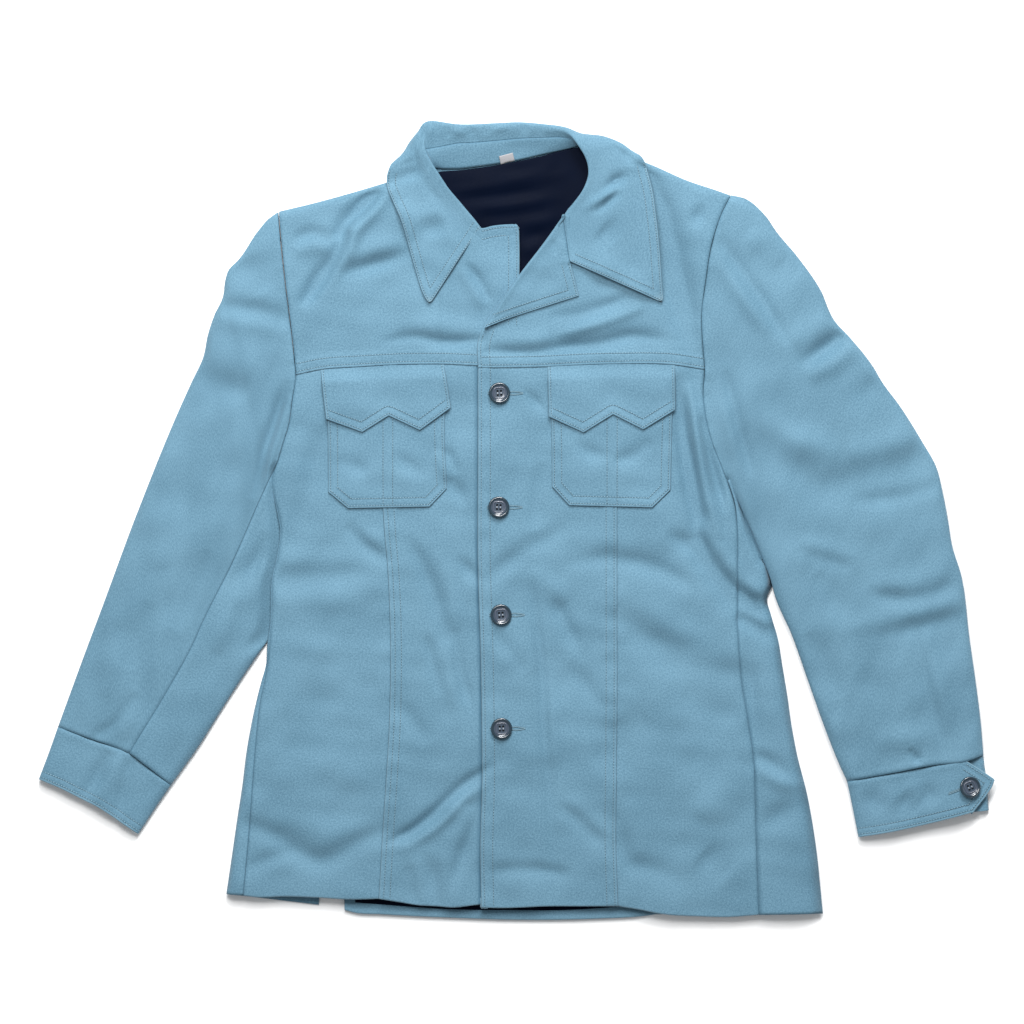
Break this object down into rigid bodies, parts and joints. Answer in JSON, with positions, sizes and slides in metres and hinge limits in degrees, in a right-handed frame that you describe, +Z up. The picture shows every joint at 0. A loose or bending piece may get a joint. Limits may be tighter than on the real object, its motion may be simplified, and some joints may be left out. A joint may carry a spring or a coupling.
{
  "type": "leisure suit jacket",
  "caption": "Light blue leisure suit jacket with wide pointed collar, western yoke and flap pockets, buttoned and laid flat.",
  "frame": {"origin": "centre of the laid-out jacket's outline, on the surface it lies on", "axes": "+X towards the sleeve with the tab on its cuff, +Y towards the collar, +Z up out of the front"},
  "size_m": [0.8898, 0.7446, 0.0186],
  "materials": {
    "face_cloth": "light blue polyester twill",
    "lining_satin": "navy satin",
    "button_plastic": "glossy slate blue",
    "label_tape": "white woven tape, bare"
  },
  "bodies": {
    "root": {"back_centre": "face_cloth", "back_side_left": "face_cloth", "back_side_right": "face_cloth", "collar": "face_cloth", "collar_stand": "face_cloth", "cuff_left": "face_cloth", "cuff_right": "face_cloth", "flap_left": "face_cloth", "flap_right": "face_cloth", "front_centre_left": "face_cloth", "front_centre_right": "face_cloth", "front_side_left": "face_cloth", "front_side_right": "face_cloth", "lapel_right": "face_cloth", "pocket_left": "face_cloth", "pocket_right": "face_cloth", "sleeve_top_left": "face_cloth", "sleeve_top_right": "face_cloth", "sleeve_under_left": "face_cloth", "sleeve_under_right": "face_cloth", "yoke_left": "face_cloth", "yoke_right": "face_cloth", "back_lining": "lining_satin", "label": "label_tape", "button_1": "button_plastic", "button_2": "button_plastic", "button_3": "button_plastic", "button_4": "button_plastic", "button_cuff": "button_plastic"}
  },
  "joints": []
}
